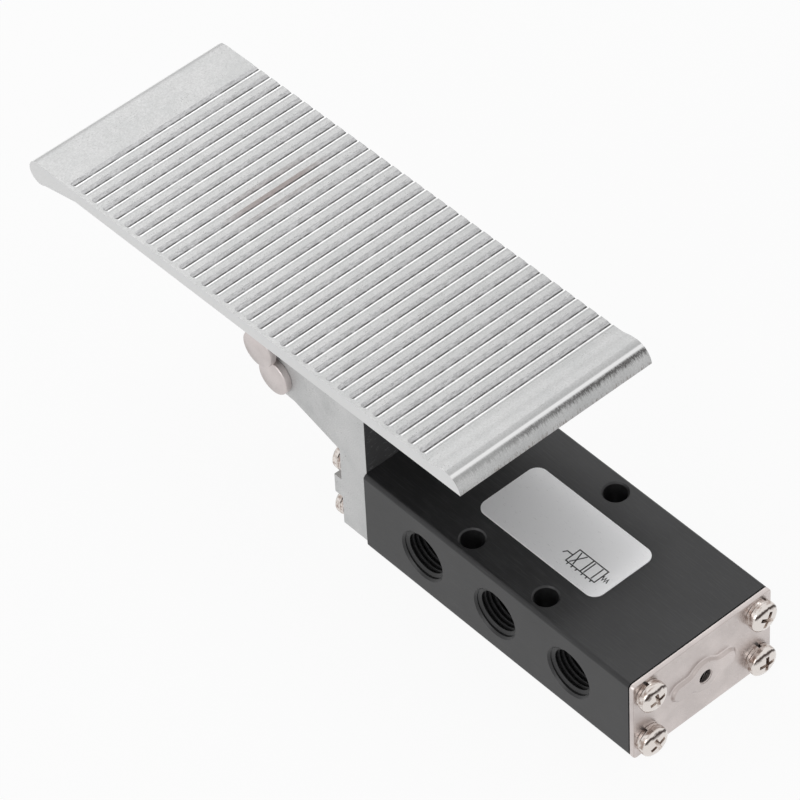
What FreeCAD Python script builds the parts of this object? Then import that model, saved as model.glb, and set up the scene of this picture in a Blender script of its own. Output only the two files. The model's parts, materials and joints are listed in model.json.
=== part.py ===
"""Foot pedal air valve: a 5/2 spool valve block with a cast bracket and a ribbed foot pedal.

Frame: X along the spool towards the end cover, Z up, origin at the centre of the block's bottom face.
Lengths are millimetres and angles are degrees. The pedal is modelled at rest.
"""
import FreeCAD, Part
import Sketcher
import math
import os
from types import SimpleNamespace

SIZES = {
    # Valve block
    "block_length": 90.0,
    "block_width": 44.0,
    "block_height": 25.0,
    "block_edge_radius": 1.2,
    "spool_height": 12.5,
    "bore_radius": 7.0,
    "gallery_radius": 9.0,
    "gallery_width": 8.4,
    "port_pitch": 25.0,
    "port_radius": 6.58,
    "port_floor_wall": 1.5,
    "port_chamfer": 0.55,
    "passage_radius": 4.0,
    "mount_hole_radius": 3.0,
    "mount_hole_chamfer": 0.4,
    "mount_hole_side_margin": 5.0,
    "label_length": 40.0,
    "label_width": 18.0,
    "label_thickness": 0.2,
    "label_corner": 3.0,
    # End cover and its gasket
    "gasket_thickness": 0.4,
    "gasket_inset": 0.2,
    "cover_thickness": 1.2,
    "cover_corner": 2.0,
    "emboss_height": 1.2,
    "emboss_recess": 1.0,
    "emboss_wall": 0.8,
    "emboss_radius": 4.9,
    "emboss_arm_half_length": 11.0,
    "emboss_arm_half_height": 2.6,
    "vent_radius": 1.85,
    # M4 pan-head screws and split washers, the same at both ends of the block
    "screw_side_margin": 4.5,
    "screw_spacing_z": 15.5,
    "screw_shank_radius": 1.95,
    "screw_engagement": 10.0,
    "screw_head_radius": 4.0,
    "screw_head_height": 2.6,
    "screw_head_chamfer": 1.1,
    "tapped_hole_radius": 2.0,
    "tapped_hole_extra": 2.0,
    "clearance_hole_radius": 2.2,
    "washer_outer_radius": 3.8,
    "washer_inner_radius": 2.1,
    "washer_thickness": 1.0,
    "washer_gap": 0.7,
    # Spool, seals and return spring
    "stem_radius": 4.6,
    "seal_width": 3.4,
    "seal_clearance": 0.02,
    "seal_margin": 1.8,
    "spool_left_end": 4.0,
    "spool_right_end": 2.8,
    "spring_pocket_radius": 3.6,
    "spring_pocket_depth": 5.0,
    "spring_mean_radius": 2.8,
    "spring_wire_side": 0.7,
    "spring_turns": 3.5,
    "spring_end_gap": 0.05,
    # Plunger, bush and wiper
    "plunger_radius": 4.0,
    "plunger_collar_radius": 5.5,
    "plunger_collar_length": 2.0,
    "plunger_head_radius": 5.5,
    "plunger_head_length": 3.0,
    "bush_radius": 6.0,
    "wiper_length": 2.0,
    "running_fit": 0.04,
    "fixed_fit": 0.01,
    # Bracket
    "flange_thickness": 9.5,
    "flange_screw_margin": 3.5,
    "flange_bottom": 0.5,
    "flange_top": 49.0,
    "boss_radius": 9.0,
    "boss_height": 2.6,
    "back_rib_half_height": 3.0,
    "arm_bottom": 25.3,
    "arm_tip_radius": 5.3,
    "arm_root_inset": 0.2,
    "arm_root_thickness": 6.3,
    "arm_side_taper": 2.2,
    "arm_tip_thickness": 5.2,
    "arm_flat_length": 5.5,
    "shoulder_height": 45.0,
    "shoulder_slope": 5.0,
    # Pins and their clips
    "pin_radius": 3.0,
    "pin_head_radius": 5.0,
    "pin_head_thickness": 2.0,
    "pin_head_gap": 0.3,
    "clip_thickness": 0.8,
    "clip_radius": 5.2,
    "clip_groove_depth": 0.6,
    "clip_slot": 4.0,
    # Pedal and its lever
    "pivot_reach": 24.2,
    "pivot_z": 32.1,
    "stop_offset_x": -2.2,
    "stop_offset_z": 9.4,
    "stop_clearance": 0.3,
    "pedal_travel": 14.0,
    "pedal_tilt": 1.19,
    "pedal_width": 60.0,
    "plate_top": 28.0,
    "plate_thickness": 3.5,
    "plate_toe": 75.9,
    "plate_heel": 78.2,
    "toe_radius": 3.4,
    "toe_step": 0.05,
    "toe_blend": 14.0,
    "toe_root_share": 0.93,
    "heel_radius": 5.0,
    "heel_crown": 0.9,
    "rib_pitch": 4.02,
    "rib_count": 32,
    "groove_depth": 0.35,
    "groove_slope_width": 1.45,
    "groove_wall_width": 0.35,
    "rib_border": 2.3,
    "first_groove": 60.0,
    "web_depth": 5.0,
    "web_half_length": 40.0,
    "web_taper": 24.0,
    "cheek_thickness": 4.0,
    "cheek_clearance": 0.4,
    "cheek_toe_reach": 22.0,
    "cheek_heel_reach": 24.0,
    "hub_radius": 7.0,
    "nose_reach": 7.8,
    "nose_drop": 21.5,
    "nose_radius": 5.0,
    "nose_clearance": 0.3,
    "lever_width": 10.0,
}

doc = FreeCAD.newDocument("foot_pedal_air_valve")
sheet = doc.addObject("Spreadsheet::Sheet", "Sizes")
for row, (alias, number) in enumerate(SIZES.items(), start=1):
    sheet.set("A%d" % row, alias)
    sheet.set("B%d" % row, str(number))
    sheet.setAlias("B%d" % row, alias)
doc.recompute()


class Size:
    """A number with the sheet formula behind it, so that a sum of sizes stays bound to its cells."""

    def __init__(self, value, formula=None):
        self.value = float(value)
        self.formula = formula if formula else "(%r)" % self.value

    def joined(self, other, sign, value):
        return Size(value, "(%s %s %s)" % (self.formula, sign, as_size(other).formula))

    def __add__(self, other):
        return self.joined(other, "+", self.value + as_size(other).value)

    def __sub__(self, other):
        return self.joined(other, "-", self.value - as_size(other).value)

    def __mul__(self, other):
        return self.joined(other, "*", self.value * as_size(other).value)

    def __truediv__(self, other):
        return self.joined(other, "/", self.value / as_size(other).value)

    def __neg__(self):
        return self * -1

    __radd__ = __add__
    __rmul__ = __mul__


def as_size(number):
    return number if isinstance(number, Size) else Size(number)


def root(size):
    return Size(math.sqrt(size.value), "sqrt(%s)" % size.formula)


def sine(angle):
    return Size(math.sin(math.radians(angle.value)), "sin(%s * 1deg)" % angle.formula)


def cosine(angle):
    return Size(math.cos(math.radians(angle.value)), "cos(%s * 1deg)" % angle.formula)


s = SimpleNamespace(**{name: Size(sheet.get(name), "Sizes." + name) for name in SIZES})

# Sizes that follow from the driving ones
half_length = s.block_length / 2
half_width = s.block_width / 2
port_depth = half_width - s.gallery_radius - s.port_floor_wall
mount_hole_offset = half_width - s.mount_hole_side_margin
screw_offset = half_width - s.screw_side_margin
flange_half_width = screw_offset + s.flange_screw_margin
arm_root_outer = flange_half_width - s.arm_root_inset
arm_root_inner = arm_root_outer - s.arm_root_thickness
arm_tip_outer = arm_root_outer - s.arm_side_taper
arm_tip_inner = arm_tip_outer - s.arm_tip_thickness
step = s.port_pitch / 2
stroke = s.nose_reach * (cosine(s.pedal_travel) - 1) + s.nose_drop * sine(s.pedal_travel)
cover_inside = half_length + s.gasket_thickness
cover_outside = cover_inside + s.cover_thickness
flange_back = -half_length - s.flange_thickness
boss_face = flange_back - s.boss_height
pivot_x = flange_back - s.pivot_reach
nose_x = pivot_x + s.nose_reach
plunger_tip = nose_x + s.nose_radius + s.nose_clearance
plunger_back = plunger_tip + s.plunger_head_length
stop_x = pivot_x + s.stop_offset_x
stop_z = s.pivot_z + s.stop_offset_z
shoulder_x = stop_x + s.pin_radius + s.stop_clearance
cheek_outer = arm_tip_inner - s.cheek_clearance
toe_x = s.toe_radius - s.plate_toe
toe_z = s.plate_top - s.toe_radius - s.toe_step
seal_outer_radius = s.bore_radius - s.seal_clearance
seal_inner_radius = s.stem_radius + s.fixed_fit
gallery_end = s.port_pitch + s.gallery_width / 2
seal_places = [
    -gallery_end - s.seal_margin - stroke,
    -step * 1.5 - stroke,
    -step * 0.5,
    step * 0.5 - stroke,
    step * 1.5,
    gallery_end + s.seal_margin,
]
spool_left = seal_places[0] - s.spool_left_end
spool_right = seal_places[5] + s.spool_right_end
screw_places = [
    (screw_offset * side, s.spool_height + s.screw_spacing_z * (level / 2))
    for side in (-1, 1) for level in (-1, 1)
]

X_AXIS, Y_AXIS, Z_AXIS = FreeCAD.Vector(1, 0, 0), FreeCAD.Vector(0, 1, 0), FreeCAD.Vector(0, 0, 1)
NO_TURN = FreeCAD.Rotation()
nodes = {}


def bind(feature, name, size):
    """Set a property and tie it to the sheet."""
    size = as_size(size)
    setattr(feature, name, size.value)
    feature.setExpression(name, size.formula)


def place(feature, x=0, y=0, z=0, turn=NO_TURN):
    spot = [as_size(value) for value in (x, y, z)]
    feature.Placement = FreeCAD.Placement(FreeCAD.Vector(*[size.value for size in spot]), turn)
    for letter, size in zip("xyz", spot):
        feature.setExpression(".Placement.Base.%s" % letter, size.formula)
    return feature


def node(feature, label):
    feature.Label = label
    nodes[label] = feature
    return feature


# Sketches and body features

def new_body(name):
    return doc.addObject("PartDesign::Body", name)


def new_sketch(body, name, plane, up=0, out=0):
    """Sketch on a plane of the body, its own origin moved up and out along the plane's normal."""
    made = body.newObject("Sketcher::SketchObject", name)
    base = [item for item in body.Origin.OriginFeatures if item.Role == plane][0]
    made.AttachmentSupport = [(base, "")]
    made.MapMode = "FlatFace"
    shift = [as_size(value) for value in (0, up, out)]
    made.AttachmentOffset = FreeCAD.Placement(FreeCAD.Vector(*[size.value for size in shift]), NO_TURN)
    for letter, size in zip("xyz", shift):
        made.setExpression(".AttachmentOffset.Base.%s" % letter, size.formula)
    return made


def hold(sketch, kind, references, size):
    size = as_size(size)
    index = sketch.addConstraint(Sketcher.Constraint(kind, *references, size.value))
    sketch.setExpression("Constraints[%d]" % index, size.formula)


def pin_point(sketch, geometry, vertex, x, y):
    hold(sketch, "DistanceX", (-1, 1, geometry, vertex), x)
    hold(sketch, "DistanceY", (-1, 1, geometry, vertex), y)


def circle(sketch, x, y, radius):
    x, y, radius = as_size(x), as_size(y), as_size(radius)
    centre = FreeCAD.Vector(x.value, y.value, 0)
    index = sketch.addGeometry(Part.Circle(centre, Z_AXIS, radius.value))
    pin_point(sketch, index, 3, x, y)
    hold(sketch, "Radius", (index,), radius)


def arc_between(start, end, radius):
    """Arc shorter than a half turn; a positive radius turns left on the way from start to end."""
    chord = end - start
    left = FreeCAD.Vector(-chord.y, chord.x, 0).normalize()
    rise = math.sqrt(max(radius * radius - chord.Length ** 2 / 4, 0.0))
    centre = (start + end) / 2 + left * math.copysign(rise, radius)
    first, last = (start, end) if radius > 0 else (end, start)
    angles = [math.atan2(spot.y - centre.y, spot.x - centre.x) for spot in (first, last)]
    if angles[1] <= angles[0]:
        angles[1] += 2 * math.pi
    return Part.ArcOfCircle(Part.Circle(centre, Z_AXIS, abs(radius)), *angles)


def outline(sketch, points):
    """Closed outline. A point is (x, y), or (x, y, radius) where an arc arrives at it."""
    spots = [FreeCAD.Vector(as_size(point[0]).value, as_size(point[1]).value, 0) for point in points]
    ends = []
    for index, point in enumerate(points):
        start, end = spots[index - 1], spots[index]
        if len(point) == 2:
            geometry = sketch.addGeometry(Part.LineSegment(start, end))
            ends.append((geometry, 1, 2))
            continue
        radius = as_size(point[2])
        geometry = sketch.addGeometry(arc_between(start, end, radius.value))
        hold(sketch, "Radius", (geometry,), radius if radius.value > 0 else -radius)
        ends.append((geometry, 1, 2) if radius.value > 0 else (geometry, 2, 1))
    for index, point in enumerate(points):
        here, following = ends[index], ends[(index + 1) % len(ends)]
        sketch.addConstraint(Sketcher.Constraint("Coincident", here[0], here[2], following[0], following[1]))
        pin_point(sketch, here[0], here[2], point[0], point[1])


def rectangle(sketch, left, low, right, high):
    outline(sketch, [(left, low), (right, low), (right, high), (left, high)])


def pad(body, sketch, length, middle=False, back=False):
    made = body.newObject("PartDesign::Pad", sketch.Name + "_pad")
    made.Profile = sketch
    bind(made, "Length", length)
    made.Midplane = middle
    made.Reversed = back
    body.Tip = made
    return made


def pocket(body, sketch, length=None, middle=False, back=False):
    """Cut to a length, or through everything where no length is given."""
    made = body.newObject("PartDesign::Pocket", sketch.Name + "_cut")
    made.Profile = sketch
    made.Midplane = middle
    made.Reversed = back
    if length is None:
        made.Type = "ThroughAll"
    else:
        bind(made, "Length", length)
    body.Tip = made
    return made


def turned(name, points):
    """Lathe piece about its own X axis; the points are (along, radius)."""
    body = new_body(name)
    profile = new_sketch(body, name + "_profile", "XZ_Plane")
    outline(profile, points)
    made = body.newObject("PartDesign::Revolution", name + "_turn")
    made.Profile = profile
    made.ReferenceAxis = (profile, ["H_Axis"])
    made.Angle = 360.0
    body.Tip = made
    return body


def repeat(body, feature, sketch, length, count):
    made = body.newObject("PartDesign::LinearPattern", feature.Name + "_row")
    made.Originals = [feature]
    made.Direction = (sketch, ["H_Axis"])
    bind(made, "Length", length)
    made.Occurrences = int(count.value)
    made.setExpression("Occurrences", count.formula)
    body.Tip = made
    return made


def dress(body, kind, radius, wanted):
    """Fillet or chamfer the edges of the body's last feature that the test picks."""
    doc.recompute()
    base = body.Tip
    names = ["Edge%d" % (index + 1) for index, edge in enumerate(base.Shape.Edges) if wanted(edge)]
    made = body.newObject("PartDesign::" + kind, "%s_%s" % (base.Name, kind.lower()))
    made.Base = (base, names)
    bind(made, "Radius" if kind == "Fillet" else "Size", radius)
    body.Tip = made
    return made


def along(edge, axis):
    """Whether a straight edge lies along an axis."""
    if not isinstance(edge.Curve, Part.Line):
        return False
    return abs(edge.Curve.Direction.dot(axis)) > 0.999


def ring_at(edge, radius, axis, level):
    """Whether an edge is a circle of that radius whose plane is at that level along an axis."""
    if not isinstance(edge.Curve, Part.Circle):
        return False
    same_level = abs(edge.CenterOfMass.dot(axis) - as_size(level).value) < 0.01
    return same_level and abs(edge.Curve.Radius - radius.value) < 0.001


# Valve block

def make_block():
    body = new_body("block_body")
    base = new_sketch(body, "block_outline", "XY_Plane")
    rectangle(base, -half_length, -half_width, half_length, half_width)
    pad(body, base, s.block_height)
    dress(body, "Fillet", s.block_edge_radius, lambda edge: along(edge, X_AXIS))

    bore = new_sketch(body, "spool_bore", "YZ_Plane")
    circle(bore, 0, s.spool_height, s.bore_radius)
    pocket(body, bore, middle=True)

    gallery = new_sketch(body, "gallery", "XZ_Plane", up=s.spool_height)
    half_gallery = s.gallery_width / 2
    rectangle(gallery, -s.port_pitch - half_gallery, 0, half_gallery - s.port_pitch, s.gallery_radius)
    groove = body.newObject("PartDesign::Groove", "gallery_groove")
    groove.Profile = gallery
    groove.ReferenceAxis = (gallery, ["H_Axis"])
    groove.Angle = 360.0
    body.Tip = groove
    repeat(body, groove, gallery, s.port_pitch * 2, Size(5))

    for side, places in ((-1, (-1, 0, 1)), (1, (-0.5, 0.5))):
        for radius, depth, name in ((s.port_radius, port_depth, "port"),
                                    (s.passage_radius, half_width, "passage")):
            face = new_sketch(body, "%s_%s" % (name, "far" if side > 0 else "near"), "XZ_Plane",
                              out=half_width * -side)
            for place_along in places:
                circle(face, s.port_pitch * place_along, s.spool_height, radius)
            pocket(body, face, depth, back=side > 0)

    top = new_sketch(body, "mount_holes", "XY_Plane")
    for x, side in ((-step, -1), (step, -1), (Size(0), 1)):
        circle(top, x, mount_hole_offset * side, s.mount_hole_radius)
    pocket(body, top, back=True)

    for end, name in ((-1, "bracket"), (1, "cover")):
        face = new_sketch(body, name + "_taps", "YZ_Plane", out=half_length * end)
        for y, z in screw_places:
            circle(face, y, z, s.tapped_hole_radius)
        pocket(body, face, s.screw_engagement + s.tapped_hole_extra, back=end < 0)

    dress(body, "Chamfer", s.port_chamfer,
          lambda edge: ring_at(edge, s.port_radius, Y_AXIS, half_width)
          or ring_at(edge, s.port_radius, Y_AXIS, -half_width))
    dress(body, "Chamfer", s.mount_hole_chamfer,
          lambda edge: ring_at(edge, s.mount_hole_radius, Z_AXIS, s.block_height)
          or ring_at(edge, s.mount_hole_radius, Z_AXIS, 0))
    return node(body, "valve_body")


def make_label():
    body = new_body("label_body")
    base = new_sketch(body, "label_outline", "XY_Plane", out=s.block_height)
    half_long, half_wide = s.label_length / 2, s.label_width / 2
    rectangle(base, -half_long, -half_wide, half_long, half_wide)
    pad(body, base, s.label_thickness)
    dress(body, "Fillet", s.label_corner, lambda edge: along(edge, Z_AXIS))
    return node(body, "name_label")


# End cover

def cover_outline(body, name, inset, out, thickness, corner):
    base = new_sketch(body, name, "YZ_Plane", out=out)
    rectangle(base, inset - half_width, inset, half_width - inset, s.block_height - inset)
    pad(body, base, thickness)
    dress(body, "Fillet", corner, lambda edge: along(edge, X_AXIS))


def make_gasket():
    body = new_body("gasket_body")
    cover_outline(body, "gasket_outline", s.gasket_inset, half_length, s.gasket_thickness, s.cover_corner)
    holes = new_sketch(body, "gasket_holes", "YZ_Plane", out=half_length)
    circle(holes, 0, s.spool_height, s.bore_radius)
    for y, z in screw_places:
        circle(holes, y, z, s.clearance_hole_radius)
    pocket(body, holes, middle=True)
    return node(body, "end_gasket")


def emboss_shape(body, name, out, depth, shrink, cutting):
    """Round pad with a rounded arm each side, raised outside the cover and sunk inside it."""
    radius = s.emboss_radius - shrink
    arm, half_height = s.emboss_arm_half_length - shrink, s.emboss_arm_half_height - shrink
    straight = arm - half_height
    low, high = s.spool_height - half_height, s.spool_height + half_height
    arms = new_sketch(body, name + "_arms", "YZ_Plane", out=out)
    outline(arms, [(straight, low), (arm, s.spool_height, half_height), (straight, high, half_height),
                   (-straight, high), (-arm, s.spool_height, half_height), (-straight, low, half_height)])
    middle = new_sketch(body, name + "_round", "YZ_Plane", out=out)
    circle(middle, 0, s.spool_height, radius)
    for sketch in (arms, middle):
        if cutting:
            pocket(body, sketch, depth, back=True)
        else:
            pad(body, sketch, depth)


def make_cover():
    body = new_body("cover_body")
    cover_outline(body, "cover_outline", Size(0), cover_inside, s.cover_thickness, s.cover_corner)
    emboss_shape(body, "emboss", cover_outside, s.emboss_height, Size(0), cutting=False)
    emboss_shape(body, "recess", cover_inside, s.emboss_recess, s.emboss_wall, cutting=True)
    holes = new_sketch(body, "cover_holes", "YZ_Plane", out=cover_inside)
    circle(holes, 0, s.spool_height, s.vent_radius)
    for y, z in screw_places:
        circle(holes, y, z, s.clearance_hole_radius)
    pocket(body, holes, middle=True)
    return node(body, "end_plate")


# Screws and washers

def make_screw(name, shank, seat, outwards, y, z):
    """Pan-head screw along X, its seat at zero and its head towards positive X."""
    rim = s.screw_head_height - s.screw_head_chamfer
    crown = s.screw_head_radius - s.screw_head_chamfer
    body = turned(name, [(-shank, 0), (-shank, s.screw_shank_radius), (0, s.screw_shank_radius),
                         (0, s.screw_head_radius), (rim, s.screw_head_radius),
                         (s.screw_head_height, crown), (s.screw_head_height, 0)])
    turn = NO_TURN if outwards > 0 else FreeCAD.Rotation(Z_AXIS, 180)
    return place(body, seat, y, z, turn)


def make_washer(name, seat, outwards, y, z):
    rounds = []
    for letter, radius in (("o", s.washer_outer_radius), ("i", s.washer_inner_radius)):
        made = doc.addObject("Part::Cylinder", name + letter)
        bind(made, "Radius", radius)
        bind(made, "Height", s.washer_thickness)
        rounds.append(place(made, seat, y, z, FreeCAD.Rotation(Y_AXIS, 90 * outwards)))
    split = doc.addObject("Part::Box", name + "s")
    bind(split, "Length", s.washer_thickness * 2)
    bind(split, "Width", s.washer_gap)
    bind(split, "Height", s.washer_outer_radius)
    place(split, seat - s.washer_thickness, y - s.washer_gap / 2, z)
    ring = doc.addObject("Part::Cut", name + "r")
    ring.Base, ring.Tool = rounds
    made = doc.addObject("Part::Cut", name)
    made.Base, made.Tool = ring, split
    return made


def make_fasteners(title, seat, outwards, grip):
    """Four screws and four split washers; grip is what the shank passes before the block."""
    screws, washers = [], []
    head_seat = seat + s.washer_thickness * outwards
    shank = s.washer_thickness + grip + s.screw_engagement
    for number, (y, z) in enumerate(screw_places, start=1):
        screws.append(make_screw("%s_screw%d" % (title, number), shank, head_seat, outwards, y, z))
        washers.append(make_washer("%s_washer%d" % (title, number), seat, outwards, y, z))
    for pieces, label in ((screws, "screws"), (washers, "washers")):
        group = doc.addObject("Part::Compound", "%s_%s_group" % (title, label))
        group.Links = pieces
        node(group, "%s_%s" % (title, label))


# Spool, seals, spring, plunger

def make_spool():
    pocket_floor = spool_right - s.spring_pocket_depth
    points = [(spool_left, 0), (spool_left, s.stem_radius), (spool_right, s.stem_radius),
              (spool_right, s.spring_pocket_radius), (pocket_floor, s.spring_pocket_radius),
              (pocket_floor, 0)]
    node(place(turned("spool_body", points), z=s.spool_height), "spool")


def make_seals():
    """Rings bonded to the spool's stem."""
    half = s.seal_width / 2
    points = [(-half, seal_inner_radius), (half, seal_inner_radius),
              (half, seal_outer_radius), (-half, seal_outer_radius)]
    for number, centre in enumerate(seal_places, start=1):
        ring = turned("seal%d_body" % number, points)
        node(place(ring, centre, z=s.spool_height), "spool_seal_%d" % number)


def make_spring():
    """Coil between the floor of the spool's pocket and the recess in the cover."""
    half = s.spring_wire_side / 2
    start = spool_right - s.spring_pocket_depth + s.spring_end_gap + half
    end = cover_inside + s.emboss_recess - s.spring_end_gap - half
    coil = doc.addObject("Part::Helix", "spring_path")
    bind(coil, "Pitch", (end - start) / s.spring_turns)
    bind(coil, "Height", end - start)
    bind(coil, "Radius", s.spring_mean_radius)
    section = doc.addObject("Part::RegularPolygon", "spring_section")
    section.Polygon = 4
    bind(section, "Circumradius", half * root(Size(2)))
    place(section, x=s.spring_mean_radius, turn=FreeCAD.Rotation(X_AXIS, 90) * FreeCAD.Rotation(Z_AXIS, 45))
    wire = doc.addObject("Part::Sweep", "spring_wire")
    wire.Sections = [section]
    wire.Spine = (coil, ["Edge1"])
    wire.Solid = True
    wire.Frenet = True
    node(place(wire, start, z=s.spool_height, turn=FreeCAD.Rotation(Y_AXIS, 90)), "return_spring")


def make_plunger():
    collar_left = spool_left - s.plunger_collar_length
    points = [(plunger_tip, 0), (plunger_tip, s.plunger_head_radius), (plunger_back, s.plunger_head_radius),
              (plunger_back, s.plunger_radius), (collar_left, s.plunger_radius),
              (collar_left, s.plunger_collar_radius), (spool_left, s.plunger_collar_radius),
              (spool_left, 0)]
    node(place(turned("plunger_body", points), z=s.spool_height), "plunger")


def make_guides():
    wiper_end = boss_face + s.wiper_length
    hole = s.plunger_radius + s.running_fit
    outer = s.bush_radius - s.fixed_fit
    for label, left, right in (("plunger_wiper", boss_face, wiper_end),
                               ("plunger_bush", wiper_end, -half_length)):
        points = [(left, hole), (right, hole), (right, outer), (left, outer)]
        node(place(turned(label + "_body", points), z=s.spool_height), label)


# Bracket

def make_bracket():
    body = new_body("bracket_body")
    flange = new_sketch(body, "flange_outline", "YZ_Plane", out=-half_length)
    rectangle(flange, -flange_half_width, s.flange_bottom, flange_half_width, s.flange_top)
    pad(body, flange, s.flange_thickness, back=True)
    doc.recompute()

    side = new_sketch(body, "arm_side", "XZ_Plane")
    tip_left = pivot_x - s.arm_tip_radius
    tip_low = s.pivot_z - s.arm_tip_radius
    reach = shoulder_x - pivot_x
    shoulder_foot = s.pivot_z + root(s.arm_tip_radius * s.arm_tip_radius - reach * reach)
    inside_flange = flange_back + s.flange_thickness / 2
    outline(side, [
        (inside_flange, s.arm_bottom),
        (inside_flange, s.flange_top),
        (shoulder_x + s.shoulder_slope, s.flange_top),
        (shoulder_x, s.shoulder_height),
        (shoulder_x, shoulder_foot),
        (tip_left, s.pivot_z, s.arm_tip_radius),
        (pivot_x, tip_low, s.arm_tip_radius),
    ])
    pad(body, side, flange_half_width * 2, middle=True)

    plan = new_sketch(body, "arm_plan", "XY_Plane")
    beyond = tip_left - s.arm_tip_radius
    flat = pivot_x + s.arm_flat_length
    wide = flange_half_width * 1.5
    for way in (-1, 1):
        points = [(flange_back, arm_root_outer * way), (flat, arm_tip_outer * way),
                  (beyond, arm_tip_outer * way), (beyond, wide * way), (flange_back, wide * way)]
        outline(plan, points)
    outline(plan, [(flange_back, -arm_root_inner), (flange_back, arm_root_inner),
                   (flat, arm_tip_inner), (beyond, arm_tip_inner),
                   (beyond, -arm_tip_inner), (flat, -arm_tip_inner)])
    pocket(body, plan, s.flange_top, back=True)

    boss = new_sketch(body, "bush_boss", "YZ_Plane", out=flange_back)
    circle(boss, 0, s.spool_height, s.boss_radius)
    pad(body, boss, s.boss_height, back=True)
    rib = new_sketch(body, "back_rib", "YZ_Plane", out=flange_back)
    rectangle(rib, -flange_half_width, s.spool_height - s.back_rib_half_height,
              flange_half_width, s.spool_height + s.back_rib_half_height)
    pad(body, rib, s.boss_height, back=True)

    bore = new_sketch(body, "bush_bore", "YZ_Plane", out=-half_length)
    circle(bore, 0, s.spool_height, s.bush_radius)
    for y, z in screw_places:
        circle(bore, y, z, s.clearance_hole_radius)
    pocket(body, bore, s.flange_thickness + s.boss_height * 2)

    pivot = new_sketch(body, "pivot_hole", "XZ_Plane")
    circle(pivot, pivot_x, s.pivot_z, s.pin_radius + s.fixed_fit)
    pocket(body, pivot, middle=True)
    return node(body, "bracket")


# Pins and clips

def make_pin(label, x, z, head_face):
    """Flat-headed pin along Y; head_face is where the head's inner face stands from the middle."""
    end = head_face + s.pin_head_thickness
    groove = head_face + s.fixed_fit
    floor_radius = s.pin_radius - s.clip_groove_depth
    points = [(-end, 0), (-end, s.pin_head_radius), (-head_face, s.pin_head_radius),
              (-head_face, s.pin_radius), (groove, s.pin_radius),
              (groove, floor_radius), (groove + s.clip_thickness, floor_radius),
              (groove + s.clip_thickness, s.pin_radius), (end, s.pin_radius), (end, 0)]
    turn = FreeCAD.Rotation(Z_AXIS, 90)
    node(place(turned(label + "_body", points), x, 0, z, turn), label)

    clip = new_body(label + "_clip_body")
    ring = new_sketch(clip, label + "_clip_ring", "XZ_Plane", out=-groove)
    circle(ring, 0, 0, s.clip_radius)
    circle(ring, 0, 0, floor_radius + s.fixed_fit)
    pad(clip, ring, s.clip_thickness - s.fixed_fit, back=True)
    mouth = new_sketch(clip, label + "_clip_mouth", "XZ_Plane", out=-groove)
    rectangle(mouth, -s.clip_slot / 2, -s.clip_radius * 2, s.clip_slot / 2, 0)
    pocket(clip, mouth, middle=True)
    node(place(clip, x, 0, z), label + "_clip")


# Pedal

def make_plate():
    """Ribbed plate in its own tilted frame, whose origin is the pivot."""
    body = new_body("plate_body")
    top = s.plate_top
    bottom = top - s.plate_thickness
    heel_centre = s.plate_heel - s.heel_radius
    heel_drop = s.heel_radius - s.heel_crown - s.plate_thickness
    heel_reach = root(s.heel_radius * s.heel_radius - heel_drop * heel_drop)
    last_groove = s.rib_pitch * (s.rib_count - 1) - s.first_groove
    crown_start = last_groove + s.rib_pitch - s.groove_slope_width
    crown_run = heel_centre - crown_start
    crown_radius = (crown_run * crown_run / s.heel_crown + s.heel_crown) / 4
    side = new_sketch(body, "plate_side", "XZ_Plane")
    outline(side, [
        (toe_x, toe_z),
        (toe_x, toe_z - s.toe_radius * s.toe_root_share),
        (toe_x + s.toe_blend, bottom),
        (heel_centre + heel_reach, bottom),
        (heel_centre, top + s.heel_crown, s.heel_radius),
        (heel_centre - crown_run / 2, top + s.heel_crown / 2, crown_radius),
        (crown_start, top, -crown_radius),
        (toe_x, top),
    ])
    pad(body, side, s.pedal_width, middle=True)

    groove = new_sketch(body, "rib_groove", "XZ_Plane", out=s.pedal_width / 2 - s.rib_border)
    start = -s.first_groove
    wall_top = start + s.groove_wall_width
    outline(groove, [(start - s.groove_slope_width, top), (start, top - s.groove_depth),
                     (wall_top, top), (wall_top, top + s.groove_depth),
                     (start - s.groove_slope_width, top + s.groove_depth)])
    cut = pocket(body, groove, s.pedal_width)
    repeat(body, cut, groove, s.rib_pitch * (s.rib_count - 1), s.rib_count)

    long_edge = s.web_half_length + s.web_taper
    inside = bottom + s.plate_thickness / 2
    for way, name in ((-1, "near_web"), (1, "far_web")):
        web = new_sketch(body, name, "XZ_Plane", out=(cheek_outer - s.cheek_thickness / 2) * -way)
        outline(web, [(-long_edge, inside), (-s.web_half_length, bottom - s.web_depth),
                      (s.web_half_length, bottom - s.web_depth), (long_edge, inside)])
        pad(body, web, s.cheek_thickness, middle=True)
    place(body, pivot_x, 0, s.pivot_z, FreeCAD.Rotation(-Y_AXIS, s.pedal_tilt.value))
    body.setExpression(".Placement.Rotation.Angle", s.pedal_tilt.formula)
    return body


def make_toe():
    """Round bar along the plate's toe."""
    half = s.pedal_width / 2 - s.toe_step
    body = turned("toe_body", [(half, 0), (half, s.toe_radius), (-half, s.toe_radius), (-half, 0)])
    level, rise = cosine(s.pedal_tilt), sine(s.pedal_tilt)
    x = pivot_x + toe_x * level - toe_z * rise
    z = s.pivot_z + toe_x * rise + toe_z * level
    return place(body, x, 0, z, FreeCAD.Rotation(Z_AXIS, 90) * FreeCAD.Rotation(X_AXIS, -90))


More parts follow.
